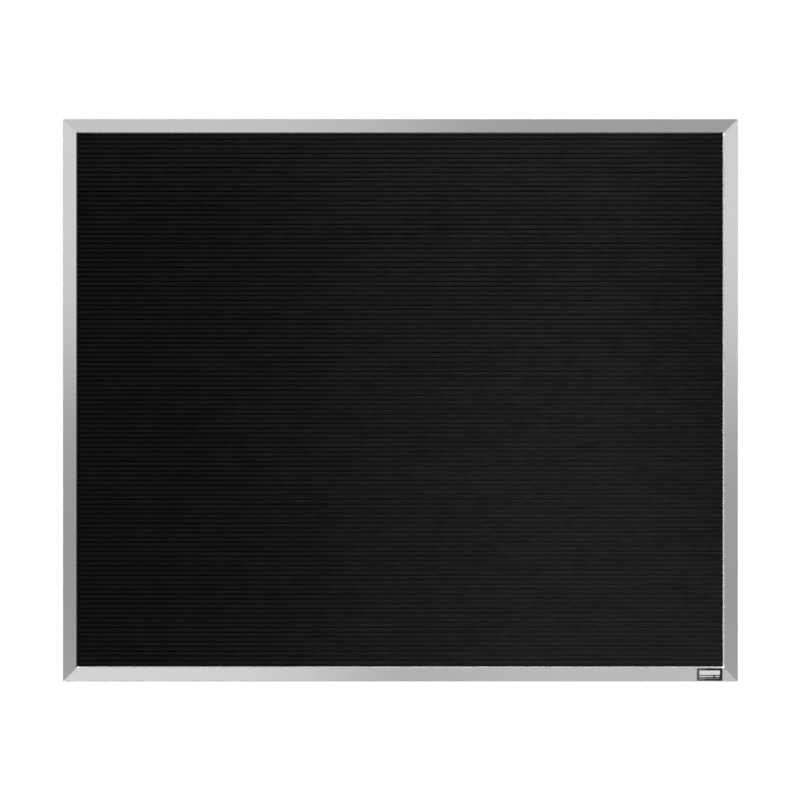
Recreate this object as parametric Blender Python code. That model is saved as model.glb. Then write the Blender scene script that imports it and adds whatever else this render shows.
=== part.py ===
"""Open-face changeable letter board: a felt-faced, grooved letter panel in a mitred aluminium frame.

The board hangs on a wall. +X runs to the right as seen from the front, +Z is up and the front faces
-Y. The origin is the middle of the board's width, height and depth. All sizes are metres.

Two directions describe every frame part: "in" is the distance from the board's outer edge towards
its middle, and "depth" is the distance behind the frame's front face.
"""

import math

import bmesh
import bpy

# Board outline
BOARD_WIDTH = 0.9144
BOARD_HEIGHT = 0.762
CORNER_RADIUS = 0.002

# Clearances
SEAT_GAP = 0.0003  # between pieces that rest on each other
PANEL_CLEARANCE = 0.001  # beside and above the panel, inside the frame's outer walls
MITRE_GAP = 0.00005  # across each closed mitre
THREAD_GAP = 0.0002  # round a screw in its tapped hole
COUNTERSINK_GAP = 0.0004  # round a screw's head and shank in its plate

# Frame extrusion
FACE_WIDTH = 0.020
FACE_THICKNESS = 0.0016
WALL_THICKNESS = 0.0016
OUTER_ROUND = 0.0008
LIP_BEVEL_WIDTH = 0.0019
LIP_DEPTH = 0.0026
LIP_LAND = 0.0003
LIP_BEAD_WIDTH = 0.0022
REAR_CHAMFER = 0.0005
SHELF_THICKNESS = 0.0014
CHANNEL_WIDTH = 0.0104
CHANNEL_WALL = 0.0014
CHANNEL_LIP_THICKNESS = 0.0014
CHANNEL_SLOT_WIDTH = 0.0056

# Felt-faced letter panel
GROOVE_PITCH = 0.00643
GROOVE_WIDTH = 0.0013
GROOVE_DEPTH = 0.005
FELT_THICKNESS = 0.0008
FELT_SHOULDER_RADIUS = 0.0009
FELT_CROWN_RISE = 0.00012
CORE_WEB = 0.0026
BACKING_THICKNESS = 0.0032

# Corner keys, which join the mitres inside the rear channel
KEY_LEG = 0.038
KEY_THICKNESS = 0.002
KEY_CHAMFER = 0.002
SHIM_THICKNESS = 0.001
CLAMP_TRAVEL = 0.0005  # left between key and shim for the set screws to spread them
SET_SCREW_RADIUS = 0.002
SET_SCREW_FROM_CORNER = 0.029
SET_SCREW_RECESS = 0.0008
DRIVER_SLOT_WIDTH = 0.0008
DRIVER_SLOT_DEPTH = 0.0008

# Keyhole hangers on the top rail
HANGER_FROM_END = 0.1524
HANGER_THICKNESS = 0.002
HANGER_FLANGE_WIDTH = 0.044
HANGER_TONGUE_WIDTH = 0.021
HANGER_TONGUE_END = 0.0315
HANGER_EDGE_INSET = 0.0012
HANGER_FLANGE_OVERHANG = 0.0008
HANGER_CORNER_RADIUS = 0.002
KEYHOLE_ENTRY_RADIUS = 0.00475
KEYHOLE_ENTRY_IN = 0.0250
KEYHOLE_SLOT_WIDTH = 0.005
KEYHOLE_SLOT_END_IN = 0.0185
HANGER_SCREW_SPACING = 0.030
HANGER_SCREW_RADIUS = 0.0018
HANGER_SCREW_HEAD_RADIUS = 0.0035
HANGER_SCREW_LENGTH = 0.0066
HANGER_SCREW_SINK = 0.0001
NUT_BAR_END_MARGIN = 0.006

# Wall bumpers on the bottom rail
BUMPER_FROM_END = 0.0572
BUMPER_RADIUS = 0.0062
BUMPER_EDGE_ROUND = 0.0007

# Corner label, on the face of the bottom rail
LABEL_WIDTH = 0.0347
LABEL_HEIGHT = 0.0168
LABEL_THICKNESS = 0.00025
LABEL_CORNER_RADIUS = 0.0012
LABEL_FROM_MITRE = 0.0007

# Roundness of the faceted shapes
ROUND_SIDES = 16
ARC_STEPS = 4
SHOULDER_STEPS = 2

# How far a cutter runs past the faces that it cuts, and the distance at which points are one
CUT_OVERRUN = 0.0003
MERGE_DISTANCE = 0.000003

# Depths behind the front face, stacked from front to back
FELT_FRONT = LIP_DEPTH + SEAT_GAP
CORE_FRONT = FELT_FRONT + FELT_THICKNESS + SEAT_GAP
CORE_SLOT_FLOOR = FELT_FRONT + GROOVE_DEPTH + FELT_THICKNESS + SEAT_GAP
CORE_BACK = CORE_SLOT_FLOOR + CORE_WEB
BACKING_FRONT = CORE_BACK + SEAT_GAP
BACKING_BACK = BACKING_FRONT + BACKING_THICKNESS
SHELF_FRONT = BACKING_BACK + SEAT_GAP
SHELF_BACK = SHELF_FRONT + SHELF_THICKNESS
SHIM_FRONT = SHELF_BACK + SEAT_GAP
SHIM_BACK = SHIM_FRONT + SHIM_THICKNESS
KEY_FRONT = SHIM_BACK + CLAMP_TRAVEL
KEY_BACK = KEY_FRONT + KEY_THICKNESS
CHANNEL_LIP_FRONT = KEY_BACK + SEAT_GAP
FRAME_DEPTH = CHANNEL_LIP_FRONT + CHANNEL_LIP_THICKNESS
HANGER_FRONT = FRAME_DEPTH + SEAT_GAP
WALL_PLANE = HANGER_FRONT + HANGER_THICKNESS
LABEL_BACK = -SEAT_GAP
LABEL_FRONT = LABEL_BACK - LABEL_THICKNESS
FRAME_FRONT_Y = -(LABEL_FRONT + WALL_PLANE) / 2

# Distances in from the outer edge
CHANNEL_INNER = WALL_THICKNESS + CHANNEL_WIDTH
CHANNEL_OUTSIDE = CHANNEL_INNER + CHANNEL_WALL
CHANNEL_MIDDLE = WALL_THICKNESS + CHANNEL_WIDTH / 2
KEY_EDGE = WALL_THICKNESS + SEAT_GAP
KEY_WIDTH = CHANNEL_WIDTH - 2 * SEAT_GAP

# The panel's edges: it stands on the bottom rail's wall and has clearance on its other sides
PANEL_WIDTH = BOARD_WIDTH - 2 * (WALL_THICKNESS + PANEL_CLEARANCE)
PANEL_BOTTOM = -BOARD_HEIGHT / 2 + WALL_THICKNESS + SEAT_GAP
PANEL_TOP = BOARD_HEIGHT / 2 - WALL_THICKNESS - PANEL_CLEARANCE


def clear_scene():
    for obj in list(bpy.data.objects):
        bpy.data.objects.remove(obj, do_unlink=True)


def make_material(name, colour, roughness, metallic=0.0):
    material = bpy.data.materials.new(name)
    material.use_nodes = True
    shader = material.node_tree.nodes["Principled BSDF"]
    shader.inputs["Base Color"].default_value = (*colour, 1.0)
    shader.inputs["Roughness"].default_value = roughness
    shader.inputs["Metallic"].default_value = metallic
    return material


def add_object(name, mesh, material, location=(0, 0, 0), parent=None):
    """An object that shows the mesh in one material. Copies may share the mesh."""
    if not mesh.materials:
        mesh.materials.append(material)
    obj = bpy.data.objects.new(name, mesh)
    bpy.context.scene.collection.objects.link(obj)
    obj.location = location
    obj.parent = parent
    return obj


def add_empty(name, location, turn=0.0):
    """A guide whose children share its place. It turns about Y, the axis that faces the wall."""
    guide = bpy.data.objects.new(name, None)
    bpy.context.scene.collection.objects.link(guide)
    guide.location = location
    guide.rotation_euler = (0, turn, 0)
    return guide


def mesh_from(bm, name):
    bmesh.ops.recalc_face_normals(bm, faces=bm.faces)
    mesh = bpy.data.meshes.new(name)
    bm.to_mesh(mesh)
    bm.free()
    return mesh


def push_outline(name, corners, travel):
    """A closed solid: one flat face through the corners, extruded by the travel vector."""
    bm = bmesh.new()
    face = bm.faces.new([bm.verts.new(corner) for corner in corners])
    extruded = bmesh.ops.extrude_face_region(bm, geom=[face])
    moved = [item for item in extruded["geom"] if isinstance(item, bmesh.types.BMVert)]
    bmesh.ops.translate(bm, verts=moved, vec=travel)
    return mesh_from(bm, name)


def plate_mesh(name, outline, front, back):
    """A flat plate whose outline is in (x, z), between two depths."""
    corners = [(x, front, z) for x, z in outline]
    return push_outline(name, corners, (0, back - front, 0))


def strip_mesh(name, profile, length):
    """A section in (depth, z) that runs the length of X, centred on it."""
    corners = [(-length / 2, depth, z) for depth, z in profile]
    return push_outline(name, corners, (length, 0, 0))


def turned_mesh(name, profile, sides=ROUND_SIDES):
    """A section in (radius, depth) spun about the Y axis. It starts and ends on the axis."""
    bm = bmesh.new()
    verts = [bm.verts.new((radius, depth, 0)) for radius, depth in profile]
    edges = [bm.edges.new(pair) for pair in zip(verts, verts[1:])]
    bmesh.ops.spin(
        bm,
        geom=verts + edges,
        axis=(0, 1, 0),
        cent=(0, 0, 0),
        steps=sides,
        angle=math.tau,
        use_duplicate=False,
    )
    bmesh.ops.remove_doubles(bm, verts=bm.verts, dist=MERGE_DISTANCE)
    return mesh_from(bm, name)


def cut_mesh(name, solid, cutters):
    """The solid's mesh less each cutter, a (mesh, location) pair, as a mesh that copies can share."""
    body = add_object(name, solid, None)
    tools = []
    for cutter, location in cutters:
        tool = add_object(name + "_cutter", cutter, None, location)
        tool.hide_render = True
        tool.display_type = "WIRE"
        modifier = body.modifiers.new("Cut", "BOOLEAN")
        modifier.operation = "DIFFERENCE"
        modifier.object = tool
        tools.append(tool)
    bpy.context.view_layer.update()
    graph = bpy.context.evaluated_depsgraph_get()
    result = bpy.data.meshes.new_from_object(body.evaluated_get(graph))
    result.name = name
    result.materials.clear()
    for obj in [body, *tools]:
        bpy.data.objects.remove(obj, do_unlink=True)
    return result


def shade_round(mesh, sharp_degrees=35):
    mesh.shade_smooth()
    mesh.set_sharp_from_angle(angle=math.radians(sharp_degrees))
    return mesh


def arc(centre, radius, start_degrees, end_degrees, steps=ARC_STEPS):
    """Points along an arc, both ends included. Angles run from the first axis to the second."""
    first, second = centre
    points = []
    for step in range(steps + 1):
        angle = math.radians(start_degrees + (end_degrees - start_degrees) * step / steps)
        points.append((first + radius * math.cos(angle), second + radius * math.sin(angle)))
    return points


def rounded_rectangle(left, right, low, high, radius):
    return (
        arc((right - radius, high - radius), radius, 90, 0)
        + arc((right - radius, low + radius), radius, 0, -90)
        + arc((left + radius, low + radius), radius, -90, -180)
        + arc((left + radius, high - radius), radius, 180, 90)
    )


def rail_section():
    """The extrusion's section in (in, depth): a face with a bevelled, beaded lip, an outer wall, and
    behind the panel's pocket a shelf that carries the C-shaped channel for the corner keys."""
    slot_outer = CHANNEL_MIDDLE - CHANNEL_SLOT_WIDTH / 2
    slot_inner = CHANNEL_MIDDLE + CHANNEL_SLOT_WIDTH / 2
    bead = FACE_WIDTH - LIP_BEAD_WIDTH
    outer_round = arc((OUTER_ROUND, OUTER_ROUND), OUTER_ROUND, 180, 270)
    return outer_round + [
        (FACE_WIDTH - LIP_BEVEL_WIDTH, 0),
        (FACE_WIDTH, LIP_DEPTH - LIP_LAND),
        (FACE_WIDTH, LIP_DEPTH),
        (bead, LIP_DEPTH),
        (bead, FACE_THICKNESS),
        (WALL_THICKNESS, FACE_THICKNESS),
        (WALL_THICKNESS, SHELF_FRONT),
        (CHANNEL_OUTSIDE, SHELF_FRONT),
        (CHANNEL_OUTSIDE, FRAME_DEPTH),
        (slot_inner, FRAME_DEPTH),
        (slot_inner, CHANNEL_LIP_FRONT),
        (CHANNEL_INNER, CHANNEL_LIP_FRONT),
        (CHANNEL_INNER, SHELF_BACK),
        (WALL_THICKNESS, SHELF_BACK),
        (WALL_THICKNESS, CHANNEL_LIP_FRONT),
        (slot_outer, CHANNEL_LIP_FRONT),
        (slot_outer, FRAME_DEPTH),
        (REAR_CHAMFER, FRAME_DEPTH),
        (0, FRAME_DEPTH - REAR_CHAMFER),
    ]


def corner_file_mesh(name, length, side):
    """A cutter for what is filed off a rail's sharp outer corner, at the end on the given side."""
    centre = (length / 2 - CORNER_RADIUS, -CORNER_RADIUS)
    outline = arc(centre, CORNER_RADIUS, 90, 0, 2 * ARC_STEPS)
    outside = length / 2 + CUT_OVERRUN
    outline += [(outside, -CORNER_RADIUS), (outside, CUT_OVERRUN), (centre[0], CUT_OVERRUN)]
    outline = [(side * x, z) for x, z in outline]
    return plate_mesh(name, outline, -CUT_OVERRUN, FRAME_DEPTH + CUT_OVERRUN)


def rail_mesh(name, length):
    """A rail along X with its outer edge on the X axis. Both ends are sheared to 45 degree mitres:
    each point's end moves back by as much as the point lies in from the edge."""
    setback = MITRE_GAP / math.sqrt(2)
    profile = [(depth, -inward) for inward, depth in rail_section()]
    mitred = strip_mesh(name + "_mitred", profile, length)
    for vertex in mitred.vertices:
        end = length / 2 + vertex.co.z - setback
        vertex.co.x = math.copysign(end, vertex.co.x)
    files = [(corner_file_mesh(name + "_file", length, side), (0, 0, 0)) for side in (-1, 1)]
    return cut_mesh(name, mitred, files)


def add_frame(aluminium):
    """Four mitred rails. One section serves all, turned about Y so that its edge faces outwards."""
    across = rail_mesh("rail_across", BOARD_WIDTH)
    upright = rail_mesh("rail_upright", BOARD_HEIGHT)
    for name, mesh, x, z, turn in (
        ("frame_rail_top", across, 0, BOARD_HEIGHT / 2, 0),
        ("frame_rail_right", upright, BOARD_WIDTH / 2, 0, math.pi / 2),
        ("frame_rail_bottom", across, 0, -BOARD_HEIGHT / 2, math.pi),
        ("frame_rail_left", upright, -BOARD_WIDTH / 2, 0, -math.pi / 2),
    ):
        rail = add_object(name, shade_round(mesh), aluminium, (x, FRAME_FRONT_Y, z))
        rail.rotation_euler = (0, turn, 0)


def groove_centres():
    """Heights of the grooves: a pattern centred on the board, with a flat margin at each end."""
    reach = min(-PANEL_BOTTOM, PANEL_TOP)
    side_count = math.floor(reach / GROOVE_PITCH - 0.5)
    return [index * GROOVE_PITCH for index in range(-side_count, side_count + 1)]


def felt_front_path(centre):
    """The felt's face round one groove, in (depth, z): the shoulder that folds in, the slot that
    grips the letters' prongs, the far shoulder, and the crown of the rib above."""
    half = GROOVE_WIDTH / 2
    radius = FELT_SHOULDER_RADIUS
    edge = FELT_FRONT + FELT_CROWN_RISE
    floor = FELT_FRONT + GROOVE_DEPTH
    below = (edge + radius, centre - half - radius)
    above = (edge + radius, centre + half + radius)
    return (
        arc(below, radius, 180, 90, SHOULDER_STEPS)
        + [(floor, centre - half), (floor, centre + half)]
        + arc(above, radius, -90, -180, SHOULDER_STEPS)
        + [(FELT_FRONT, centre + GROOVE_PITCH / 2)]
    )


def slot_path(centre, half_width, surface, floor):
    """A square-cut slot in (depth, z)."""
    low, high = centre - half_width, centre + half_width
    return [(surface, low), (floor, low), (floor, high), (surface, high)]


def add_letter_panel(felt, fibreboard, hardboard):
    """The felt facing, glued down into the slots of the grooved core, and the hardboard behind."""
    centres = groove_centres()
    place = (0, FRAME_FRONT_Y, 0)

    # Felt: out along its face, back along its glued side
    face_path = [(FELT_FRONT + FELT_CROWN_RISE, PANEL_BOTTOM)]
    face_path.append((FELT_FRONT, centres[0] - GROOVE_PITCH / 2))
    for centre in centres:
        face_path += felt_front_path(centre)
    face_path.append((FELT_FRONT + FELT_CROWN_RISE, PANEL_TOP))
    felt_back = FELT_FRONT + FELT_THICKNESS
    felt_floor = felt_back + GROOVE_DEPTH
    glued_path = [(felt_back, PANEL_BOTTOM)]
    for centre in centres:
        half_width = GROOVE_WIDTH / 2 + FELT_THICKNESS
        glued_path += slot_path(centre, half_width, felt_back, felt_floor)
    glued_path.append((felt_back, PANEL_TOP))
    felt_mesh = strip_mesh("felt_facing", face_path + glued_path[::-1], PANEL_WIDTH)
    add_object("felt_facing", shade_round(felt_mesh, 50), felt, place)

    # Core: the same slots, wider by the felt and its glue line
    core_path = [(CORE_FRONT, PANEL_BOTTOM)]
    for centre in centres:
        half_width = GROOVE_WIDTH / 2 + FELT_THICKNESS + SEAT_GAP
        core_path += slot_path(centre, half_width, CORE_FRONT, CORE_SLOT_FLOOR)
    core_path += [(CORE_FRONT, PANEL_TOP), (CORE_BACK, PANEL_TOP), (CORE_BACK, PANEL_BOTTOM)]
    core_mesh = strip_mesh("grooved_core", core_path, PANEL_WIDTH)
    add_object("grooved_core", core_mesh, fibreboard, place)

    # Backing: a plain sheet that the frame's shelf holds against the core
    backing_outline = [
        (-PANEL_WIDTH / 2, PANEL_BOTTOM),
        (PANEL_WIDTH / 2, PANEL_BOTTOM),
        (PANEL_WIDTH / 2, PANEL_TOP),
        (-PANEL_WIDTH / 2, PANEL_TOP),
    ]
    backing_mesh = plate_mesh("backing_board", backing_outline, BACKING_FRONT, BACKING_BACK)
    add_object("backing_board", backing_mesh, hardboard, place)


def elbow_outline():
    """An L that fills the channel round a corner, in (x, z), with the board's corner at zero."""
    near, far = KEY_EDGE, KEY_EDGE + KEY_WIDTH
    return [
        (-near - KEY_CHAMFER, -near),
        (-near, -near - KEY_CHAMFER),
        (-near, -KEY_LEG),
        (-far, -KEY_LEG),
        (-far, -far),
        (-KEY_LEG, -far),
        (-KEY_LEG, -near),
    ]


def straight_bore(name, radius, front, back):
    """A cutter for a round hole that runs past both faces of a plate."""
    profile = [
        (0, front - CUT_OVERRUN),
        (radius, front - CUT_OVERRUN),
        (radius, back + CUT_OVERRUN),
        (0, back + CUT_OVERRUN),
    ]
    return turned_mesh(name, profile)


def driver_slot(name, radius, back):
    """A cutter for the straight slot across a screw's back end."""
    half = DRIVER_SLOT_WIDTH / 2
    reach = radius + CUT_OVERRUN
    outline = [(-reach, -half), (reach, -half), (reach, half), (-reach, half)]
    return plate_mesh(name, outline, back - DRIVER_SLOT_DEPTH, back + CUT_OVERRUN)


def set_screw_mesh():
    front = SHIM_BACK + SEAT_GAP
    back = FRAME_DEPTH - SET_SCREW_RECESS
    tip = SET_SCREW_RADIUS / 2
    profile = [
        (0, front),
        (tip, front),
        (SET_SCREW_RADIUS, front + tip),
        (SET_SCREW_RADIUS, back),
        (0, back),
    ]
    plain = turned_mesh("set_screw_plain", profile)
    slot = driver_slot("set_screw_slot", SET_SCREW_RADIUS, back)
    return cut_mesh("set_screw", plain, [(slot, (0, 0, 0))])


def add_corner_joints(steel, screw_steel):
    """At each corner a tapped key and a plain shim, spread apart in the channel by two set screws."""
    spots = {
        "across": (-SET_SCREW_FROM_CORNER, -CHANNEL_MIDDLE),
        "upright": (-CHANNEL_MIDDLE, -SET_SCREW_FROM_CORNER),
    }
    bore = straight_bore("key_bore", SET_SCREW_RADIUS + THREAD_GAP, KEY_FRONT, KEY_BACK)
    blank = plate_mesh("key_blank", elbow_outline(), KEY_FRONT, KEY_BACK)
    bores = [(bore, (x, 0, z)) for x, z in spots.values()]
    key_mesh = cut_mesh("corner_key", blank, bores)
    shim_mesh = plate_mesh("corner_shim", elbow_outline(), SHIM_FRONT, SHIM_BACK)
    screw_mesh = shade_round(set_screw_mesh())
    half_width, half_height = BOARD_WIDTH / 2, BOARD_HEIGHT / 2
    for corner, x, z, turn in (
        ("top_right", half_width, half_height, 0),
        ("bottom_right", half_width, -half_height, math.pi / 2),
        ("bottom_left", -half_width, -half_height, math.pi),
        ("top_left", -half_width, half_height, -math.pi / 2),
    ):
        guide = add_empty("corner_" + corner, (x, FRAME_FRONT_Y, z), turn)
        add_object("corner_key_" + corner, key_mesh, steel, parent=guide)
        add_object("corner_shim_" + corner, shim_mesh, steel, parent=guide)
        for leg, (along, down) in spots.items():
            name = f"set_screw_{corner}_{leg}"
            add_object(name, screw_mesh, screw_steel, (along, 0, down), guide)


def hanger_outline():
    """A flange that lies along the rail and a round-ended tongue that drops behind the panel, in
    (x, z), with the board's top edge at zero."""
    flange_half = HANGER_FLANGE_WIDTH / 2
    tongue_half = HANGER_TONGUE_WIDTH / 2
    top = -HANGER_EDGE_INSET
    low = -(CHANNEL_OUTSIDE + HANGER_FLANGE_OVERHANG)
    radius = HANGER_CORNER_RADIUS
    tongue_centre = -(HANGER_TONGUE_END - tongue_half)
    right_side = (
        arc((flange_half - radius, top - radius), radius, 90, 0)
        + arc((flange_half - radius, low + radius), radius, 0, -90)
        + arc((tongue_half + radius, low - radius), radius, 90, 180)
    )
    tongue_end = arc((0, tongue_centre), tongue_half, 0, -180, 3 * ARC_STEPS)
    left_side = [(-x, z) for x, z in reversed(right_side)]
    return right_side + tongue_end + left_side


def keyhole_outline():
    """A round entry with a narrower slot above it, in (x, z)."""
    half = KEYHOLE_SLOT_WIDTH / 2
    side = math.degrees(math.asin(half / KEYHOLE_ENTRY_RADIUS))
    entry = arc((0, -KEYHOLE_ENTRY_IN), KEYHOLE_ENTRY_RADIUS, 90 - side, -270 + side, 4 * ARC_STEPS)
    slot_end = arc((0, -KEYHOLE_SLOT_END_IN), half, 180, 0, 2 * ARC_STEPS)
    return entry + slot_end


def countersink_mesh():
    """A cutter for one hanger screw: a 45 degree cone at the back face, then a clearance hole."""
    head = HANGER_SCREW_HEAD_RADIUS + COUNTERSINK_GAP
    shank = HANGER_SCREW_RADIUS + COUNTERSINK_GAP
    profile = [
        (0, WALL_PLANE + CUT_OVERRUN),
        (head + CUT_OVERRUN, WALL_PLANE + CUT_OVERRUN),
        (shank, WALL_PLANE - (head - shank)),
        (shank, HANGER_FRONT - CUT_OVERRUN),
        (0, HANGER_FRONT - CUT_OVERRUN),
    ]
    return turned_mesh("countersink", profile)


def hanger_screw_mesh():
    back = WALL_PLANE - HANGER_SCREW_SINK
    cone_end = back - (HANGER_SCREW_HEAD_RADIUS - HANGER_SCREW_RADIUS)
    profile = [
        (0, back),
        (HANGER_SCREW_HEAD_RADIUS, back),
        (HANGER_SCREW_RADIUS, cone_end),
        (HANGER_SCREW_RADIUS, back - HANGER_SCREW_LENGTH),
        (0, back - HANGER_SCREW_LENGTH),
    ]
    plain = turned_mesh("hanger_screw_plain", profile)
    slot = driver_slot("hanger_screw_slot", HANGER_SCREW_HEAD_RADIUS, back)
    return cut_mesh("hanger_screw", plain, [(slot, (0, 0, 0))])


def add_hangers(steel, screw_steel):
    """Two keyhole hangers on the back of the top rail. Each is a plate that two countersunk screws
    draw against the channel's lips, with a tapped bar behind the lips as the nut."""
    spots = {
        "outer": (-HANGER_SCREW_SPACING / 2, -CHANNEL_MIDDLE),
        "inner": (HANGER_SCREW_SPACING / 2, -CHANNEL_MIDDLE),
    }
    plate = plate_mesh("hanger_blank", hanger_outline(), HANGER_FRONT, WALL_PLANE)
    keyhole = plate_mesh(
        "keyhole", keyhole_outline(), HANGER_FRONT - CUT_OVERRUN, WALL_PLANE + CUT_OVERRUN
    )
    cuts = [(keyhole, (0, 0, 0))]
    cuts += [(countersink_mesh(), (x, 0, z)) for x, z in spots.values()]
    hanger_mesh = cut_mesh("hanger_plate", plate, cuts)

    bar_half = HANGER_SCREW_SPACING / 2 + NUT_BAR_END_MARGIN
    bar_low, bar_high = -KEY_EDGE - KEY_WIDTH, -KEY_EDGE
    bar_outline = [(-bar_half, bar_low), (bar_half, bar_low), (bar_half, bar_high), (-bar_half, bar_high)]
    bar_blank = plate_mesh("nut_bar_blank", bar_outline, KEY_FRONT, KEY_BACK)
    bore = straight_bore("nut_bore", HANGER_SCREW_RADIUS + THREAD_GAP, KEY_FRONT, KEY_BACK)
    bar_mesh = cut_mesh("hanger_nut_bar", bar_blank, [(bore, (x, 0, z)) for x, z in spots.values()])

    screw_mesh = shade_round(hanger_screw_mesh())
    for side, sign in (("left", -1), ("right", 1)):
        place = (sign * (BOARD_WIDTH / 2 - HANGER_FROM_END), FRAME_FRONT_Y, BOARD_HEIGHT / 2)
        guide = add_empty("hanger_" + side, place)
        add_object("hanger_plate_" + side, hanger_mesh, steel, parent=guide)
        add_object("hanger_nut_bar_" + side, bar_mesh, steel, parent=guide)
        for spot, (across, down) in spots.items():
            name = f"hanger_screw_{side}_{spot}"
            add_object(name, screw_mesh, screw_steel, (-sign * across, 0, down), guide)


def add_bumpers(rubber):
    """Two round pads that hold the bottom rail as far off the wall as the hangers hold the top."""
    edge = BUMPER_EDGE_ROUND
    rounding = arc((BUMPER_RADIUS - edge, WALL_PLANE - edge), edge, 0, 90)
    profile = [(0, HANGER_FRONT), (BUMPER_RADIUS, HANGER_FRONT)] + rounding + [(0, WALL_PLANE)]
    mesh = shade_round(turned_mesh("wall_bumper", profile, ROUND_SIDES), 50)
    height = -BOARD_HEIGHT / 2 + CHANNEL_MIDDLE
    for side, sign in (("left", -1), ("right", 1)):
        place = (sign * (BOARD_WIDTH / 2 - BUMPER_FROM_END), FRAME_FRONT_Y, height)
        add_object("wall_bumper_" + side, mesh, rubber, place)


def add_label(label_film):
    """A small stuck-on label on the bottom rail's face, beside the right-hand mitre."""
    right = BOARD_WIDTH / 2 - FACE_WIDTH - LABEL_FROM_MITRE
    face_middle = (OUTER_ROUND + FACE_WIDTH - LIP_BEVEL_WIDTH) / 2
    low = -BOARD_HEIGHT / 2 + face_middle - LABEL_HEIGHT / 2
    outline = rounded_rectangle(
        right - LABEL_WIDTH, right, low, low + LABEL_HEIGHT, LABEL_CORNER_RADIUS
    )
    mesh = plate_mesh("corner_label", outline, LABEL_FRONT, LABEL_BACK)
    add_object("corner_label", mesh, label_film, (0, FRAME_FRONT_Y, 0))


def main():
    clear_scene()
    aluminium = make_material("satin_aluminium", (0.60, 0.60, 0.61), 0.38, 1.0)
    felt = make_material("black_felt", (0.010, 0.010, 0.010), 0.95)
    fibreboard = make_material("fibreboard", (0.30, 0.19, 0.10), 0.8)
    hardboard = make_material("hardboard", (0.20, 0.10, 0.05), 0.6)
    steel = make_material("zinc_plated_steel", (0.50, 0.50, 0.49), 0.35, 1.0)
    screw_steel = make_material("screw_steel", (0.40, 0.40, 0.40), 0.30, 1.0)
    rubber = make_material("bumper_rubber", (0.05, 0.05, 0.05), 0.7)
    label_film = make_material("label_film", (0.008, 0.008, 0.008), 0.35)
    add_frame(aluminium)
    add_letter_panel(felt, fibreboard, hardboard)
    add_corner_joints(steel, screw_steel)
    add_hangers(steel, screw_steel)
    add_bumpers(rubber)
    add_label(label_film)


main()
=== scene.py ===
# %% [markdown]
# # A felt letter board in a satin aluminium frame
#
# The object is an open-face changeable letter board: a black felt panel with narrow horizontal
# grooves, in a slim mitred frame. Its solids are already made to size, so this lesson dresses them.
# The frame, the boards and the hardware keep their shapes and get finishes. The felt gets a new
# surface, because cloth has soft shoulders and small irregularities that a plain solid has not.
#
# The first cell loads those solids and counts them.

# %% Load the solids
import math

import bpy
import numpy as np
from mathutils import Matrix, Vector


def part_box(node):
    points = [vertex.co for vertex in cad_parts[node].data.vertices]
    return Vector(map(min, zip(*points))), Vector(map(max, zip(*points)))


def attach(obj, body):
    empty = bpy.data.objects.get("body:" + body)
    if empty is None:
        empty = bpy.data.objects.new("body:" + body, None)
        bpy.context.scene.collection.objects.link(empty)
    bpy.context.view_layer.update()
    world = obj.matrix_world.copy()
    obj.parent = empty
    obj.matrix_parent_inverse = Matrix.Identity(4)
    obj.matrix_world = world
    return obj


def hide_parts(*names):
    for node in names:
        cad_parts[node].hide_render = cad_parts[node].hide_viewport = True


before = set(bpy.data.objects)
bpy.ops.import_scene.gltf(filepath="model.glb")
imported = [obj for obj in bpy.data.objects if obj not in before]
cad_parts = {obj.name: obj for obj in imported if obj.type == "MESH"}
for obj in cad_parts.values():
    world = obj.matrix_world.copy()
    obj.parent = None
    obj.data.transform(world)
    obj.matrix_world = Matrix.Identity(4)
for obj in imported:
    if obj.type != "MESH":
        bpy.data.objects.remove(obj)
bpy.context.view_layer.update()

print("solids:", len(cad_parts))

# %% [markdown]
# ## Writing shader maths as plain expressions
#
# A finish is a graph of nodes. It could be wired by hand, with one line for each link, but sums and
# products then take many lines to read. Instead a small class wraps a socket, so that an expression
# such as `1 - mask * 0.3` adds its Math nodes by itself. Every other node comes from one method,
# which sets the node's own settings first and then its sockets.

# %% A socket that can be used in an expression
class Wire:
    """The output of a node. Arithmetic on it adds Math nodes to the graph that it belongs to."""

    def __init__(self, graph, socket):
        self.graph = graph
        self.socket = socket

    def maths(self, operation, *operands):
        """The result of one Math node on the operands, each of them a number or a wire."""
        sockets = dict(enumerate(operands))
        return self.graph.node("ShaderNodeMath", {"operation": operation}, sockets)

    def __add__(self, other):
        return self.maths("ADD", self, other)

    def __sub__(self, other):
        return self.maths("SUBTRACT", self, other)

    def __mul__(self, other):
        return self.maths("MULTIPLY", self, other)

    def __rsub__(self, other):
        return self.maths("SUBTRACT", other, self)

    __radd__ = __add__
    __rmul__ = __mul__

    def sine(self):
        return self.maths("SINE", self)

    def square(self):
        return self * self

    def root(self):
        return self.maths("SQRT", self)

    def larger(self, other):
        return self.maths("MAXIMUM", self, other)

    def size(self):
        """The value without its sign."""
        return self.maths("ABSOLUTE", self)

    def share(self, start, end):
        """How far the value has come on its way: 0 at the start and 1 at the end."""
        return (self - start) * (1 / (end - start))

    def between(self, low, high, softness):
        """1 where the value lies between low and high and 0 elsewhere, with soft ends."""
        return self.rise(low, softness) * (1 - self.rise(high, softness))

    def rise(self, level, softness):
        """0 below the level and 1 above it, blended over twice the softness."""
        return self.spread(level - softness, level + softness, 0.0, 1.0)

    def spread(self, from_low, from_high, to_low, to_high):
        """The value carried from one range to another, and held at its ends."""
        sockets = {0: self, 1: from_low, 2: from_high, 3: to_low, 4: to_high}
        return self.graph.node("ShaderNodeMapRange", {"interpolation_type": "SMOOTHSTEP"}, sockets)


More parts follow.
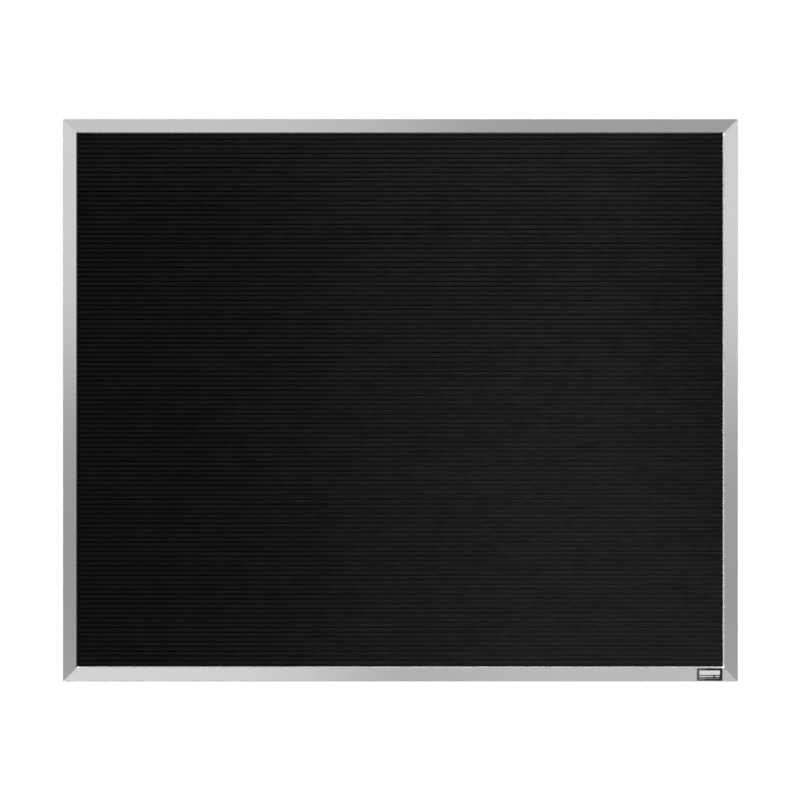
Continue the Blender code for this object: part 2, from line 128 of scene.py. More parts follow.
# %% [markdown]
# Materials and the world are both trees of nodes, so the method that makes a node belongs to a class
# that knows only its tree. A material is such a tree with the shader that its finish ends in, and its
# class adds the noises and colours that most finishes are mixed from. Every noise reads Object
# coordinates, which count metres from the board's middle, so a pattern keeps its real size.

# %% The nodes of a material or of the world
class Graph:
    """A tree of nodes, which a material or the world shows."""

    def __init__(self, tree):
        self.tree = tree

    def node(self, kind, settings, sockets, output=0):
        """A node with its settings, then its sockets' values or links. Returns one output."""
        made = self.tree.nodes.new(kind)
        for name, value in settings.items():
            setattr(made, name, value)
        for name, value in sockets.items():
            self.connect(made.inputs[name], value)
        return Wire(self, made.outputs[output])

    def connect(self, socket, value):
        if isinstance(value, Wire):
            self.tree.links.new(value.socket, socket)
        else:
            socket.default_value = value

    def ray(self, kind):
        """1 for rays of one kind, such as Camera or Glossy, and 0 for all others."""
        return self.node("ShaderNodeLightPath", {}, {}, f"Is {kind} Ray")


# %% A material under construction
# Mix has sockets of the same name for numbers, vectors and colours. These are the colour ones.
MIX_FACTOR, MIX_FIRST, MIX_SECOND, MIX_RESULT = 0, 6, 7, 2


class Finish(Graph):
    """A material under construction, with the Principled shader that it ends in."""

    def __init__(self, name):
        self.material = bpy.data.materials.new(name)
        self.material.use_nodes = True
        super().__init__(self.material.node_tree)
        self.shader = self.tree.nodes["Principled BSDF"]

    def surface(self, **inputs):
        """Sets the shader's inputs. An underscore in a name stands for a space."""
        for name, value in inputs.items():
            self.connect(self.shader.inputs[name.replace("_", " ")], value)
        return self.material

    def place(self):
        """Where on the object a point is, in metres."""
        return self.node("ShaderNodeTexCoord", {}, {}, "Object")

    def axes(self):
        """The place, as three separate numbers."""
        split = self.node("ShaderNodeSeparateXYZ", {}, {0: self.place()})
        return [Wire(self, output) for output in split.socket.node.outputs]

    def noise(self, scale, detail=2.0, roughness=0.5, offset=(0.0, 0.0, 0.0)):
        """Smooth random values near 0.5. The scale is the number of blobs in a metre, on each axis."""
        stretch = {"Vector": self.place(), "Scale": scale, "Location": offset}
        mapped = self.node("ShaderNodeMapping", {}, stretch)
        sockets = {"Vector": mapped, "Scale": 1.0, "Detail": detail, "Roughness": roughness}
        return self.node("ShaderNodeTexNoise", {}, sockets)

    def blend(self, amount, first, second):
        """One colour turning into another as the amount goes from 0 to 1. A colour is three numbers,
        or a blend of its own."""
        first, second = (c if isinstance(c, Wire) else (*c, 1.0) for c in (first, second))
        sockets = {MIX_FACTOR: amount, MIX_FIRST: first, MIX_SECOND: second}
        return self.node("ShaderNodeMix", {"data_type": "RGBA"}, sockets, MIX_RESULT)

    def bump(self, height, depth):
        """A normal that rises and falls with the height, which runs from 0 to 1, by the depth."""
        sockets = {"Height": height, "Distance": depth, "Strength": 1.0}
        return self.node("ShaderNodeBump", {}, sockets)


for helper in (Wire, Graph, Finish):
    print(helper.__name__, "has", [name for name in vars(helper) if not name.startswith("_")])


# %% Finishes on solids that keep their shape
def dress(material, *nodes):
    """Gives a finish to solids that keep their shape."""
    for name in nodes:
        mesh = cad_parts[name].data
        mesh.materials.clear()
        mesh.materials.append(material)
    print(material.name, "on", len(nodes), "solids")


def nodes_named(start):
    """The names of all solids of one kind, such as every set screw."""
    return [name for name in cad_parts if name.startswith(start)]


print("rails:", nodes_named("frame_rail"))

# %% [markdown]
# ## The frame rails: brushed, anodised aluminium
#
# The rails are one extrusion, brushed along its length and then clear anodised. The brushing leaves
# thousands of fine parallel scratches, so light spreads across them much more than along them. That
# is why two rails that meet at a mitre differ in tone though they face the same way: each spreads the
# studio's light in its own direction. A plain glossy metal would look the same on both. An anisotropic
# one, whose tangent lies across the brushing, shows the difference without any painted shade.
#
# The brushing itself is noise drawn out into long lines. It moves the roughness and a very shallow
# bump, and leaves the colour nearly even, as anodising does. The wheel doesn't reach the bevelled
# inner lip, which keeps the smoother skin that it had from the die. So the lip shines as one bright
# line where it faces the light, and goes dark where it faces away.

# %% Aluminium, brushed along the rail
ALUMINIUM = (0.62, 0.625, 0.64)
DARKEST_SHARE = 0.955  # of that colour, where the brushing is deepest
LINES_PER_METRE = 1600.0
LINE_ENDS_PER_METRE = 9.0
LINE_SHARE = 0.6  # of the colour's change. The rest is in clouds.
CLOUDS_PER_METRE = 14.0
BRUSHING_DEPTH = 0.000004
SATIN_ROUGHNESS = 0.34
SATIN_SPREAD = 0.06
SATIN_STRETCH = 0.9
LIP_ROUGHNESS = 0.20
LIP_WIDTH = 0.0019
LIP_SOFTNESS = 0.0003


def brushed_aluminium(name, line_scale, across, axis, inner_edge):
    """Satin aluminium. line_scale is high across the brushing and low along it. inner_edge is how far
    the rail's inner side lies from the board's middle, on one axis."""
    finish = Finish(name)
    lines = finish.noise(line_scale, detail=3.0, roughness=0.6)
    clouds = finish.noise((CLOUDS_PER_METRE,) * 3, detail=3.0)
    tangent = finish.node("ShaderNodeCombineXYZ", {}, dict(enumerate(across)))
    darker = tuple(DARKEST_SHARE * channel for channel in ALUMINIUM)
    face = finish.axes()[axis].size().rise(inner_edge + LIP_WIDTH, LIP_SOFTNESS)
    satin = SATIN_ROUGHNESS - SATIN_SPREAD / 2 + lines * SATIN_SPREAD
    finish.surface(
        Base_Color=finish.blend(lines * LINE_SHARE + clouds * (1 - LINE_SHARE), darker, ALUMINIUM),
        Metallic=1.0,
        Roughness=LIP_ROUGHNESS + face * (satin - LIP_ROUGHNESS),
        Anisotropic=SATIN_STRETCH,
        Tangent=tangent,
        Normal=finish.bump(lines * face, BRUSHING_DEPTH),
    )
    return finish.material


level_lines = (LINE_ENDS_PER_METRE, LINES_PER_METRE, LINES_PER_METRE)
upright_lines = (LINES_PER_METRE, LINES_PER_METRE, LINE_ENDS_PER_METRE)
sky, side = (0.0, 0.0, 1.0), (1.0, 0.0, 0.0)
inner_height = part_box("frame_rail_top")[0].z
inner_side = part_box("frame_rail_right")[0].x
level_aluminium = brushed_aluminium("aluminium_level", level_lines, sky, 2, inner_height)
upright_aluminium = brushed_aluminium("aluminium_upright", upright_lines, side, 0, inner_side)
print("inner edges in mm:", round(1000 * inner_side, 1), round(1000 * inner_height, 1))
dress(level_aluminium, "frame_rail_top", "frame_rail_bottom")
dress(upright_aluminium, "frame_rail_left", "frame_rail_right")

# %% [markdown]
# ## The felt facing: one sheet pressed into every groove
#
# The felt is glued over the ribs of the core and down into its slots, and letters hang by prongs that
# the felt grips. It could be a flat sheet with a striped bump, but the grooves are deep and dark and
# would look painted on from the side. So the surface is worked out as a closed skin: its section is
# carried along the board's width.
#
# The section repeats at each groove: a round shoulder, the groove's two walls and floor, the other
# shoulder, and the crown of the rib. Real felt is never that even. Slow random waves along the board
# move each groove a little, open and close it, and raise or flatten each crown, by tenths of a
# millimetre, which keeps the skin clear of the slotted core behind it. The fibres also stand a little
# into each groove, more so at the right, where the nap is brushed up, so the grooves look narrower
# there.

# %% The felt's section and where its grooves lie
# The pitch, width, depth, thickness and rise are the solid's own, in metres.
GROOVE_PITCH = 0.00643
GROOVE_WIDTH = 0.0013
GROOVE_DEPTH = 0.005
FELT_THICKNESS = 0.0008
SHOULDER_RADIUS = 0.0009
CROWN_RISE = 0.00012
SHOULDER_STEPS = 3
COLUMNS = 37

felt_low, felt_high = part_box("felt_facing")
groove_reach = min(-felt_low.z, felt_high.z)
side_count = math.floor(groove_reach / GROOVE_PITCH - 0.5)
groove_centres = GROOVE_PITCH * np.arange(-side_count, side_count + 1)
columns = np.linspace(felt_low.x, felt_high.x, COLUMNS)
print("grooves:", len(groove_centres), "columns:", len(columns))

# %% [markdown]
# The irregularities must be smooth, because a groove that jumps from column to column looks torn, and
# they must be the same each time the script runs. Sine waves of random length and start are both,
# once the random numbers start from a fixed seed. Noise from a texture would do too, but its values
# can't be bounded as simply, and the groove may never close.

# %% Slow random waves
# The largest size and the shortest length of each kind of wave
SHIFT_SIZE, SHIFT_LENGTH = 0.00030, 0.16
OPENING_SIZE, OPENING_LENGTH = 0.00030, 0.11
SWELL_SIZE, SWELL_LENGTH = 0.00016, 0.09
# How far the fibres close a groove at two places across the board
CLOSING_PLACES = [-0.3, 0.3]
CLOSING_SIZES = [0.00012, 0.00050]


def slow_waves(rows, along, size, shortest, seed):
    """One smooth random curve for each row: the size times the mean of four sine waves along the
    board, whose lengths run from the shortest to five times as long and whose starts are random."""
    random = np.random.default_rng(seed)
    lengths = random.uniform(shortest, 5 * shortest, (rows, 4, 1))
    starts = random.uniform(0, math.tau, (rows, 4, 1))
    waves = np.sin(math.tau * along[None, None, :] / lengths + starts)
    return size * waves.mean(axis=1)


groove_count = len(groove_centres)
groove_shift = slow_waves(groove_count, columns, SHIFT_SIZE, SHIFT_LENGTH, seed=3)
groove_opening = slow_waves(groove_count, columns, OPENING_SIZE, OPENING_LENGTH, seed=4)
groove_opening -= np.interp(columns, CLOSING_PLACES, CLOSING_SIZES)
crown_swell = slow_waves(groove_count, columns, SWELL_SIZE, SWELL_LENGTH, seed=5)
narrowest = GROOVE_WIDTH + groove_opening.min()
print("largest shift in mm:", round(1000 * np.abs(groove_shift).max(), 2))
print("narrowest groove in mm:", round(1000 * narrowest, 2))

# %% [markdown]
# The face is built from pieces that repeat at each groove, so one array can hold them all: its first
# axis counts the grooves, its second the points of one groove's section and its third the columns
# along the board. Each piece is a sum of a groove's own values and a short list of steps, and numpy
# spreads the sum over all three axes at once.

# %% The felt's front, groove by groove
def felt_front():
    """Depth and height of each point of the face, as arrays of groove by point by column. The lower
    shoulder is an arc from the rib's edge into the groove, the upper one its mirror image, and the
    crown a low parabola between two shoulders."""
    turn = np.linspace(0, math.pi / 2, SHOULDER_STEPS + 1)
    shoulder_depth = SHOULDER_RADIUS * (1 - np.cos(turn))
    shoulder_out = SHOULDER_RADIUS * (1 - np.sin(turn))
    rib_half = (GROOVE_PITCH - GROOVE_WIDTH) / 2 - SHOULDER_RADIUS
    crown_steps = np.array([-0.5, 0.0, 0.5])

    half = GROOVE_WIDTH / 2 + groove_opening[:, None, :] / 2
    centre = groove_centres[:, None, None] + groove_shift[:, None, :]
    edge = CROWN_RISE + np.zeros_like(half)
    lower_z = centre - half - shoulder_out[None, :, None]
    lower_y = edge + shoulder_depth[None, :, None]
    floor_z = centre + half * np.array([-1, 1])[None, :, None]
    floor_y = GROOVE_DEPTH + 0 * floor_z
    upper_z = centre + half + shoulder_out[None, ::-1, None]
    upper_y = edge + shoulder_depth[None, ::-1, None]
    crown_z = centre + GROOVE_PITCH / 2 + rib_half * crown_steps[None, :, None]
    crown_y = edge - (CROWN_RISE + crown_swell[:, None, :]) * (1 - crown_steps**2)[None, :, None]
    depth = np.concatenate([lower_y, floor_y, upper_y, crown_y], axis=1)
    height = np.concatenate([lower_z, floor_z, upper_z, crown_z], axis=1)
    return depth, height


front = [rows.reshape(-1, COLUMNS) for rows in felt_front()]
print("points along the front's section:", len(front[0]))

# %% [markdown]
# Behind, the felt meets the sawn slots of the core, so that side is square and doesn't wander. With
# the front, this side and a straight edge at the top and bottom, the section is a closed ring. Rings
# at neighbouring columns are joined by quads, and the skin is closed at its two ends, so it has a
# thickness from every side and holds no gap.

# %% The felt's glued side, and the closed skin
def felt_back():
    """The same for the side that is glued to the core: four corners of a square slot, the same at
    every column, because the core behind is sawn straight."""
    half = GROOVE_WIDTH / 2 + FELT_THICKNESS
    slot_z = groove_centres[:, None, None] + half * np.array([-1, -1, 1, 1])[None, :, None]
    slot_y = FELT_THICKNESS + GROOVE_DEPTH * np.array([0, 1, 1, 0])[None, :, None]
    return np.broadcast_arrays(slot_y, slot_z, np.zeros((1, 1, COLUMNS)))[:2]


def end_row(depth, height):
    """One point of the ring, the same at every column."""
    return np.full((1, COLUMNS), depth), np.full((1, COLUMNS), height)


def closed_skin(name, rings):
    """A solid whose section is a ring of points, given at every column: quads join each column to
    the next, and one flat face closes each end."""
    depth, height = rings
    count = depth.shape[0]
    across = np.broadcast_to(columns[None, :], depth.shape)
    places = np.stack([across, felt_low.y + depth, height], axis=2).transpose(1, 0, 2)
    start = np.arange(COLUMNS - 1)[:, None] * count + np.arange(count)[None, :]
    after = np.arange(COLUMNS - 1)[:, None] * count + (np.arange(count) + 1)[None, :] % count
    quads = np.stack([start, after, after + count, start + count], axis=2).reshape(-1, 4)
    first_end = np.arange(count)[::-1]
    last_end = np.arange(count) + (COLUMNS - 1) * count
    mesh = bpy.data.meshes.new(name)
    faces = quads.tolist() + [first_end.tolist(), last_end.tolist()]
    mesh.from_pydata(places.reshape(-1, 3).tolist(), [], faces)
    mesh.validate()
    piece = bpy.data.objects.new(name, mesh)
    bpy.context.scene.collection.objects.link(piece)
    return piece


back = [rows.reshape(-1, COLUMNS)[::-1] for rows in felt_back()]
bottom_front = end_row(CROWN_RISE, felt_low.z)
top_front = end_row(CROWN_RISE, felt_high.z)
top_back = end_row(FELT_THICKNESS, felt_high.z)
bottom_back = end_row(FELT_THICKNESS, felt_low.z)
stretches = (bottom_front, front, top_front, top_back, back, bottom_back)
ring = [np.concatenate(rows) for rows in zip(*stretches)]
felt = closed_skin("felt_sheet", ring)
print("felt faces:", len(felt.data.polygons))
print("felt depth in mm:", [round(1000 * limit, 2) for limit in (ring[0].min(), ring[0].max())])

# %% [markdown]
# The skin is shaded smooth, but the groove's floor meets its walls at a real edge, so angles above a
# limit stay sharp. Then the sheet is hung on the board's root body, and the solid felt that it
# replaces is hidden.

# %% Smooth shading, and the sheet hung on the board
SHARP_ANGLE = math.radians(50)

felt.data.shade_smooth()
felt.data.set_sharp_from_angle(angle=SHARP_ANGLE)
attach(felt, "root")
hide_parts("felt_facing")

# %% [markdown]
# ## Black felt
#
# Felt is a mat of short fibres. Seen up close it is speckled, because fibres catch the light at
# every angle; from a step away it shows faint clouds where the nap lies one way or another, and
# streaks along the ribs, where it was pressed into the grooves. A flat black would lose all of that.
# So four scales of noise are mixed into the colour, and the fine one also lifts a bump.
#
# The felt's colour also carries painted light and shade: it is painted darker at the left than at the
# right, lighter at its top and bottom ends, and a little darker near its right end, except low down.
# Inside the grooves a painted light lifts the tone, more so towards the right. Low down and to the
# right a painted highlight lightens each groove's mouth, so the grooves show less there.

# %% The felt's colour, painted light and shade, and fibres
FELT_DARK = (0.0012, 0.0012, 0.0012)
FELT_LIGHT = (0.0175, 0.0175, 0.0175)
# A painted highlight: the light tone of the grooves' mouths, low down and to the right
FELT_PAINTED_GLINT = (0.08, 0.08, 0.08)
FIBRE_DEPTH = 0.00025
# Depths behind the felt's front at which the painted highlight at the grooves' mouths and the painted
# light in their insides begin
MOUTH_DEPTH, MOUTH_SOFTNESS = 0.0005, 0.00035
INSIDE_DEPTH, INSIDE_SOFTNESS = 0.0010, 0.0007
# How much each noise moves the tone
FIBRE_SHARE, CLOUD_SHARE, STREAK_SHARE, TUFT_SHARE = 1.1, 0.6, 0.9, 1.2


def black_felt():
    """Painted light and shade across the board, times the noise of fibres, clouds, streaks and tufts,
    with painted light inside the grooves and a painted highlight at their mouths. Each spread has two
    places on the board, in metres from its middle, and the tones at them."""
    finish = Finish("felt_black")
    fibres = finish.noise((900.0, 900.0, 900.0), detail=3.0, roughness=0.7)
    clouds = finish.noise((22.0, 22.0, 30.0), detail=4.0, roughness=0.55)
    streaks = finish.noise((9.0, 9.0, 150.0), detail=3.0, roughness=0.6)
    tufts = finish.noise((70.0, 70.0, 230.0), detail=2.0, roughness=0.6)
    across, depth, up = finish.axes()
    # Painted light and shade: lighter to the right and at the top and bottom ends, darker at the upper
    # right
    painted_light_to_right = across.spread(-0.42, 0.31, 0.305, 0.86)
    painted_light_at_ends = up.spread(0.24, 0.35, 0.0, 0.11) + up.spread(-0.35, -0.27, 0.06, 0.0)
    painted_shade_upper_right = across.spread(0.28, 0.46, 0.0, 0.32) * up.spread(-0.36, -0.05, 0.0, 1.0)
    # Painted light inside the grooves, stronger towards the right
    inside = depth.rise(felt_low.y + INSIDE_DEPTH, INSIDE_SOFTNESS)
    painted_groove_light = 1 + inside * across.spread(-0.30, 0.30, 0.3, 1.5)
    # A painted highlight at the grooves' mouths, low down and to the right
    mouth = depth.rise(felt_low.y + MOUTH_DEPTH, MOUTH_SOFTNESS)
    painted_glint_at_mouths = mouth * up.spread(-0.15, 0.20, 1.0, 0.0) * across.spread(-0.27, 0.34, 0.05, 0.74)
    nap = painted_light_to_right - painted_shade_upper_right + painted_light_at_ends
    speckle = 1 + (fibres - 0.5) * FIBRE_SHARE + (clouds - 0.5) * CLOUD_SHARE
    speckle += (streaks - 0.5) * STREAK_SHARE + (tufts - 0.5) * TUFT_SHARE
    felt_tone_with_painted_light = finish.blend(nap * speckle * painted_groove_light, FELT_DARK, FELT_LIGHT)
    finish.surface(
        Base_Color=finish.blend(painted_glint_at_mouths, felt_tone_with_painted_light, FELT_PAINTED_GLINT),
        Roughness=0.96,
        Specular_IOR_Level=0.04,
        Normal=finish.bump(fibres, FIBRE_DEPTH),
    )
    return finish.material


felt.data.materials.append(black_felt())
print("felt finish:", felt.data.materials[0].name)

# %% [markdown]
# ## The boards behind the felt
#
# The core is a sawn fibreboard and hardly shows. The backing is hardboard: pressed wood fibre, dark
# brown and mottled, with the print of the press's wire screen on its rough side. The screen is a fine
# woven grid, so two sine waves across each other make its bump. As real dents there would be hundreds
# of thousands of them, and each is too shallow to show at the board's edge.

# %% Fibreboard and hardboard
FIBREBOARD_DARK = (0.20, 0.12, 0.06)
FIBREBOARD_LIGHT = (0.36, 0.24, 0.14)
HARDBOARD_DARK = (0.060, 0.028, 0.014)
HARDBOARD_LIGHT = (0.215, 0.115, 0.058)
SAWN_DEPTH = 0.00008
SCREEN_DEPTH = 0.00015
SCREEN_WIRES_PER_METRE = 620.0
# How much each noise moves the tone
BLOTCH_SHARE, STRAND_SHARE, FLECK_SHARE = 1.2, 1.1, 0.7


def pressed_fibre(name, dark, light, depth):
    """Wood fibre pressed into a sheet. Blotches, two layers of crossing strands and flecks move its
    tone. Its bump is the print of a wire screen, a product of two sine waves, and the strands."""
    finish = Finish(name)
    clouds = finish.noise((11.0, 11.0, 11.0), detail=6.0, roughness=0.62)
    strands = finish.noise((150.0, 150.0, 420.0), detail=3.0, roughness=0.65)
    crossing = finish.noise((420.0, 150.0, 150.0), detail=3.0, roughness=0.65, offset=(0.3, 0.0, 0.7))
    flecks = finish.noise((1300.0, 1300.0, 1300.0), detail=1.0)
    across, _, up = finish.axes()
    phase = math.tau * SCREEN_WIRES_PER_METRE
    screen = (across * phase).sine() * (up * phase).sine() * 0.5 + 0.5
    shade = 0.5 + (clouds - 0.5) * BLOTCH_SHARE + (strands - 0.5) * STRAND_SHARE
    shade += (crossing - 0.5) * STRAND_SHARE + (flecks - 0.5) * FLECK_SHARE
    finish.surface(
        Base_Color=finish.blend(shade, dark, light),
        Roughness=0.66 + flecks * 0.2,
        Normal=finish.bump(screen * 0.55 + strands * 0.25 + crossing * 0.2, depth),
    )
    return finish.material


fibreboard = pressed_fibre("fibreboard_sawn", FIBREBOARD_DARK, FIBREBOARD_LIGHT, SAWN_DEPTH)
hardboard = pressed_fibre("hardboard_rough", HARDBOARD_DARK, HARDBOARD_LIGHT, SCREEN_DEPTH)
dress(fibreboard, "grooved_core")
dress(hardboard, "backing_board")

# %% [markdown]
# ## Steel hardware
#
# The hangers, nut bars, keys and shims are pressed steel with bright zinc plate, which dulls into
# soft clouds. The screws are turned, then plated darker, and wear at their slots. Both are metals, so
# the clouds belong in the roughness more than in the colour.

# %% Zinc plate and screw steel
ZINC_BRIGHT, ZINC_CLOUDY, ZINC_ROUGHNESS = (0.64, 0.64, 0.62), (0.50, 0.51, 0.52), 0.34
SCREW_BRIGHT, SCREW_CLOUDY, SCREW_ROUGHNESS = (0.52, 0.51, 0.49), (0.38, 0.38, 0.38), 0.28
ROUGHNESS_SPREAD = 0.16
PLATING_DEPTH = 0.00001


def plated_steel(name, bright, cloudy, roughness):
    """Plated steel whose shine comes and goes in clouds."""
    finish = Finish(name)
    clouds = finish.noise((160.0, 160.0, 160.0), detail=4.0, roughness=0.6)
    grain = finish.noise((2500.0, 2500.0, 2500.0), detail=1.0)
    finish.surface(
        Base_Color=finish.blend(clouds, cloudy, bright),
        Metallic=1.0,
        Roughness=roughness - ROUGHNESS_SPREAD / 2 + clouds * ROUGHNESS_SPREAD,
        Normal=finish.bump(grain, PLATING_DEPTH),
    )
    return finish.material


zinc_plate = plated_steel("zinc_plate", ZINC_BRIGHT, ZINC_CLOUDY, ZINC_ROUGHNESS)
screw_steel = plated_steel("screw_steel", SCREW_BRIGHT, SCREW_CLOUDY, SCREW_ROUGHNESS)
plated = nodes_named("corner_key") + nodes_named("corner_shim")
plated += nodes_named("hanger_plate") + nodes_named("hanger_nut_bar")
dress(zinc_plate, *plated)
dress(screw_steel, *nodes_named("set_screw"), *nodes_named("hanger_screw"))

# %% [markdown]
# ## Rubber bumpers
#
# Two pads keep the frame's lower edge off the wall. Moulded rubber is dark grey rather than black,
# and its skin is slightly dusty. A very fine noise gives it tooth, and a coarser one spreads the dust.

# %% Rubber
RUBBER_CLEAN, RUBBER_DUSTY = (0.028, 0.028, 0.029), (0.060, 0.060, 0.060)
RUBBER_TOOTH = 0.00003


def bumper_rubber():
    """Dark rubber with a fine tooth and a trace of dust."""
    finish = Finish("rubber_grey")
    dust = finish.noise((420.0, 420.0, 420.0), detail=3.0)
    tooth = finish.noise((3000.0, 3000.0, 3000.0), detail=1.0)
    finish.surface(
        Base_Color=finish.blend(dust, RUBBER_CLEAN, RUBBER_DUSTY),
        Roughness=0.62 + dust * 0.2,
        Normal=finish.bump(tooth, RUBBER_TOOTH),
    )
    return finish.material


dress(bumper_rubber(), *nodes_named("wall_bumper"))

# %% [markdown]
# ## The corner label
#
# A small printed film on the bottom rail. It carries no words here: three plain bars of falling
# weight stand where such a label has its lines of print. They could be thin solids, but print has no
# thickness, so they are masks in the colour, measured from the label's own box. The middle bar has a
# gap. The left end of the film is a dark grey that turns black.

# %% Bars on black film
FILM_GREY, FILM_BLACK, INK = (0.105,) * 3, (0.004,) * 3, (0.80,) * 3
FADE_MIDDLE, FADE_SOFTNESS = 0.32, 0.09
SOFT_ACROSS, SOFT_UP = 0.008, 0.015
# Left, right, bottom and top edge of each bar as shares of the label, and how strong its ink is
LABEL_BARS = [
    (0.10, 0.90, 0.47, 0.82, 1.0),
    (0.10, 0.64, 0.29, 0.39, 0.85),
    (0.71, 0.88, 0.29, 0.39, 0.85),
    (0.10, 0.88, 0.14, 0.19, 0.35),
]


def printed_label():
    """Black film whose ink is the sum of its bars, each of them a band across times a band up."""
    finish = Finish("label_film")
    low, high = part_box("corner_label")
    across, _, up = finish.axes()
    share_across = across.share(low.x, high.x)
    share_up = up.share(low.z, high.z)
    ink = 0.0
    for left, right, bottom, top, strength in LABEL_BARS:
        band = share_across.between(left, right, SOFT_ACROSS) * share_up.between(bottom, top, SOFT_UP)
        ink = band * strength + ink
    film = finish.blend(share_across.rise(FADE_MIDDLE, FADE_SOFTNESS), FILM_GREY, FILM_BLACK)
    printed = finish.blend(ink, film, INK)
    finish.surface(Base_Color=printed, Roughness=0.42, Specular_IOR_Level=0.25)
    return finish.material


dress(printed_label(), "corner_label")

# %% [markdown]
# ## Camera
#
# The board is photographed from straight ahead with a long lens, so hardly anything but its front
# shows. A short lens from close by would look into the grooves at a slant near the top and bottom, and
# see more of each lip. The lens is set first, and the distance follows from the width that the picture
# spans at the frame's face.

# %% A long lens, straight ahead
# The width of the picture and the places of the frame's outline in it
PICTURE_PIXELS = 800
FRAME_LEFT_PIXEL = 62.87
FRAME_RIGHT_PIXEL = 737.75
FRAME_TOP_PIXEL = 119.0
FRAME_BOTTOM_PIXEL = 681.45
LENS = 135.0
SENSOR = 36.0

face_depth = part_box("frame_rail_top")[0].y
left_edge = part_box("frame_rail_left")[0].x
right_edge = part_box("frame_rail_right")[1].x
metres_per_pixel = (right_edge - left_edge) / (FRAME_RIGHT_PIXEL - FRAME_LEFT_PIXEL)
picture_width = PICTURE_PIXELS * metres_per_pixel
distance = picture_width / 2 / (SENSOR / 2 / LENS)
aim_x = (PICTURE_PIXELS - FRAME_LEFT_PIXEL - FRAME_RIGHT_PIXEL) / 2 * metres_per_pixel
aim_z = (FRAME_TOP_PIXEL + FRAME_BOTTOM_PIXEL - PICTURE_PIXELS) / 2 * metres_per_pixel

camera = bpy.data.objects.new("camera", bpy.data.cameras.new("camera"))
camera.data.lens = LENS
camera.data.sensor_width = SENSOR
camera.location = (aim_x, face_depth - distance, aim_z)
camera.rotation_euler = (math.pi / 2, 0.0, 0.0)
bpy.context.scene.collection.objects.link(camera)
bpy.context.scene.camera = camera
print("camera distance:", round(distance, 3), "mm per pixel:", round(1000 * metres_per_pixel, 4))

# %% [markdown]
# ## Studio
#
# The key light is a large soft lamp, far off, up and to the left, on the diagonal. It gives the felt
# its shade under the frame's left and top lips. Brushed metal hardly shows it, because the metal's
# streaks of light run straight up and straight across, and a lamp on the diagonal lies in neither.
#
# What the metal does show are five dim softboxes beside the lens, whose edges make the tones change
# along the rails: one up and left, two to the right and two below. Two strip lamps stand edge-on to
# the board, at its left and above it. The flat faces hardly see them, but the lip's bevel does, at
# the right and at the bottom. A last lamp lights the back, and it is large and dim, because metal
# shows a small strong one as a patch of pure white. All are plain rectangles, given by their
# brightness: an area lamp of P watts has a brightness of P / pi for each square metre, which makes
# the power follow from the size.

# %% A lamp, given by its place, size and brightness
WATTS_FOR_BRIGHTNESS = math.pi


def soft_lamp(name, centre, aim, width, height, brightness):
    """A rectangular area lamp at a centre, turned to its aim. It lights but is not seen itself. The
    first turn tips it up from pointing straight down, and the second swings it round."""
    data = bpy.data.lights.new(name, "AREA")
    data.shape = "RECTANGLE"
    data.size = width
    data.size_y = height
    data.energy = WATTS_FOR_BRIGHTNESS * brightness * width * height
    lamp = bpy.data.objects.new(name, data)
    lamp.location = centre
    towards = np.array(aim) - np.array(centre)
    level = math.hypot(towards[0], towards[1])
    lamp.rotation_euler = (math.atan2(level, -towards[2]), 0.0, math.atan2(-towards[0], towards[1]))
    lamp.visible_camera = False
    bpy.context.scene.collection.objects.link(lamp)
    print(name, "power in watts:", round(data.energy, 1))


# %% Five softboxes beside the lens
SOFTBOX_PLANE = -2.2
# Left, right, bottom and top edge in metres, and brightness
SOFTBOXES = {
    "softbox_upper_left": (-2.10, 0.05, 0.07, 1.08, 0.79),
    "softbox_upper_right": (1.27, 1.92, 0.03, 1.10, 3.6),
    "softbox_low": (0.10, 1.30, -1.24, -0.90, 3.5),
    "softbox_low_left": (-1.10, -0.12, -1.24, -0.90, 4.8),
    "softbox_middle_right": (1.00, 1.92, -0.50, -0.08, 0.28),
}

for name, (left, right, bottom, top, brightness) in SOFTBOXES.items():
    centre = ((left + right) / 2, SOFTBOX_PLANE, (bottom + top) / 2)
    ahead = (centre[0], 0.0, centre[2])
    soft_lamp(name, centre, ahead, right - left, top - bottom, brightness)

# %% The strips, the key light and the lamp behind
# Each call gives a lamp's centre, its aim, its width, its height and its brightness.
BOARD_MIDDLE = (0.0, 0.0, 0.0)

soft_lamp("strip_left", (-2.4, -0.3, 0.1), (0.0, -0.3, 0.1), 0.6, 2.6, 3.6)
soft_lamp("strip_top", (0.0, -0.3, 2.4), (0.0, -0.3, 0.0), 2.8, 0.6, 4.2)
soft_lamp("key_lamp", (-4.87, -4.06, 4.87), BOARD_MIDDLE, 2.6, 2.6, 20.0)
soft_lamp("back_lamp", (3.4, 4.8, 3.6), BOARD_MIDDLE, 5.6, 5.6, 2.7)

# %% [markdown]
# The room is white wherever the camera looks past the board. For reflections it is pale behind the
# board, nearly dark at the sides, as between two black flags, and dim in front, as a studio is around
# the lens. For plain lighting it is one low level. The world is sampled only by the rays that leave a
# surface, because a lamp-like sampling of it would not know which kind of ray it stands for.

# %% White surroundings
AMBIENT = 0.25
DIM_FRONT = 0.50
DARK_SIDES = 0.02
BRIGHT_REAR = 0.75
# Where the tones change, on the way from straight in front of the board, -1, to straight behind it, 1
FRONT_FADES = (-0.85, -0.60)
REAR_GROWS = (0.1, 0.7)

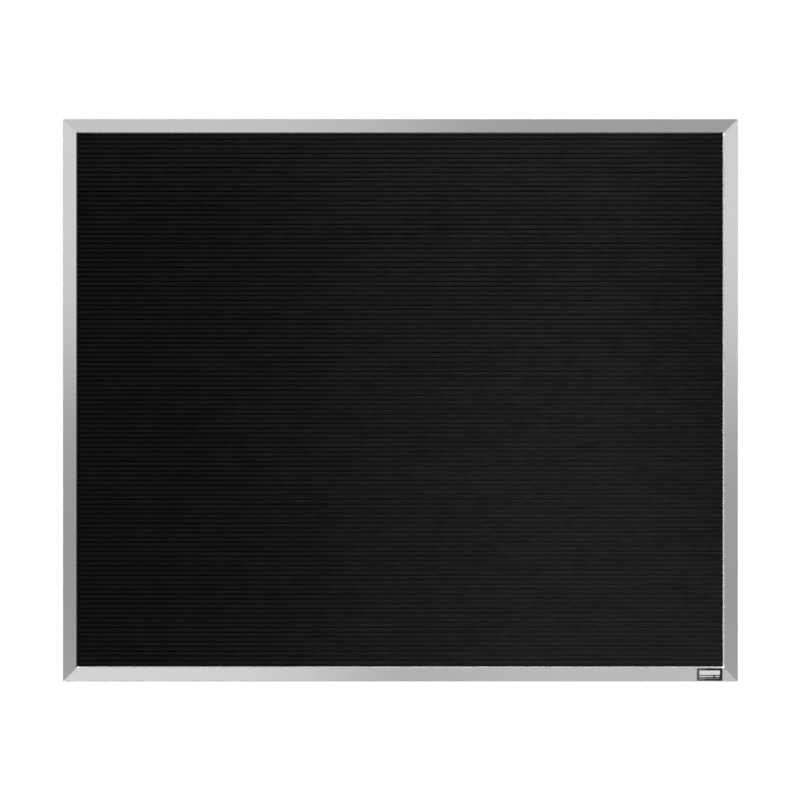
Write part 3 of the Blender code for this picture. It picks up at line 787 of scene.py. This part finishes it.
world = bpy.data.worlds.new("studio")
bpy.context.scene.world = world
world.use_nodes = True
world.cycles.sampling_method = "NONE"
room = Graph(world.node_tree)
heading = room.node("ShaderNodeTexCoord", {}, {}, "Generated")
backwards = room.node("ShaderNodeSeparateXYZ", {}, {0: heading}, "Y")
in_front = backwards.spread(*FRONT_FADES, DIM_FRONT, DARK_SIDES)
mirrored = in_front + backwards.spread(*REAR_GROWS, 0.0, BRIGHT_REAR - DARK_SIDES)
seen = room.ray("Camera")
reflected = room.ray("Glossy").larger(room.ray("Transmission"))
unseen = reflected * mirrored + (1 - reflected) * AMBIENT
background = world.node_tree.nodes["Background"]
background.inputs["Color"].default_value = (1.0, 1.0, 1.0, 1.0)
room.connect(background.inputs["Strength"], seen + (1 - seen) * unseen)
print("nodes in the world:", len(world.node_tree.nodes))

# %% [markdown]
# ## Floor
#
# The board hangs above a pale floor, which is far enough below not to show in the photograph's
# framing. The key lamp throws the shadow back and to the right, so the floor lies there too, and its
# front edge stays under the board: a pale floor in front would be mirrored in the top rail's bevelled
# lip. Towards its edges it turns into a white as bright as the background, for the camera and
# for reflections, so no horizon shows.

# %% Pale floor
FLOOR_LEVEL = -0.78
FLOOR_HALF = (1.30, 0.90)
FLOOR_MIDDLE = (0.75, 0.85)
FLOOR_DARK, FLOOR_LIGHT = (0.85, 0.85, 0.85), (0.88, 0.88, 0.88)
SHADOW_REACH = 0.70  # share of the way from the middle to the edge where the white begins


def pale_floor():
    """Matt white in the middle and a plain white glow at the edge. The share of the way to the edge is
    the root of the two sides' squared shares, so the glow begins at an oval."""
    finish = Finish("floor_pale")
    across, along, _ = finish.axes()
    share_across = across.share(FLOOR_MIDDLE[0], FLOOR_MIDDLE[0] + FLOOR_HALF[0])
    share_along = along.share(FLOOR_MIDDLE[1], FLOOR_MIDDLE[1] + FLOOR_HALF[1])
    distance_share = (share_across.square() + share_along.square()).root()
    far = distance_share.spread(SHADOW_REACH, 1.0, 0.0, 1.0)
    shown = finish.ray("Camera") + finish.ray("Glossy") + finish.ray("Transmission")
    tooth = finish.noise((60.0, 60.0, 60.0), detail=2.0)
    finish.surface(
        Base_Color=finish.blend(tooth, FLOOR_DARK, FLOOR_LIGHT),
        Roughness=0.85,
        Specular_IOR_Level=0.2,
    )
    glow = finish.node("ShaderNodeEmission", {}, {"Color": (1.0, 1.0, 1.0, 1.0), "Strength": 1.0})
    matt = Wire(finish, finish.shader.outputs[0])
    both = finish.node("ShaderNodeMixShader", {}, {0: far * shown, 1: matt, 2: glow})
    finish.connect(finish.tree.nodes["Material Output"].inputs["Surface"], both)
    return finish.material


floor_x = [FLOOR_MIDDLE[0] + FLOOR_HALF[0] * side for side in (-1, 1, 1, -1)]
floor_y = [FLOOR_MIDDLE[1] + FLOOR_HALF[1] * side for side in (-1, -1, 1, 1)]
floor_places = [(x, y, FLOOR_LEVEL) for x, y in zip(floor_x, floor_y)]
floor_mesh = bpy.data.meshes.new("floor")
floor_mesh.from_pydata(floor_places, [], [(0, 1, 2, 3)])
floor_mesh.materials.append(pale_floor())
floor = bpy.data.objects.new("floor", floor_mesh)
bpy.context.scene.collection.objects.link(floor)
print("floor in m:", floor_places[0], "to", floor_places[2])

# %% [markdown]
# ## Hand-over
#
# The Standard view shows each colour as it was worked out, with no film curve over it.

# %% View settings
bpy.context.scene.view_settings.view_transform = "Standard"
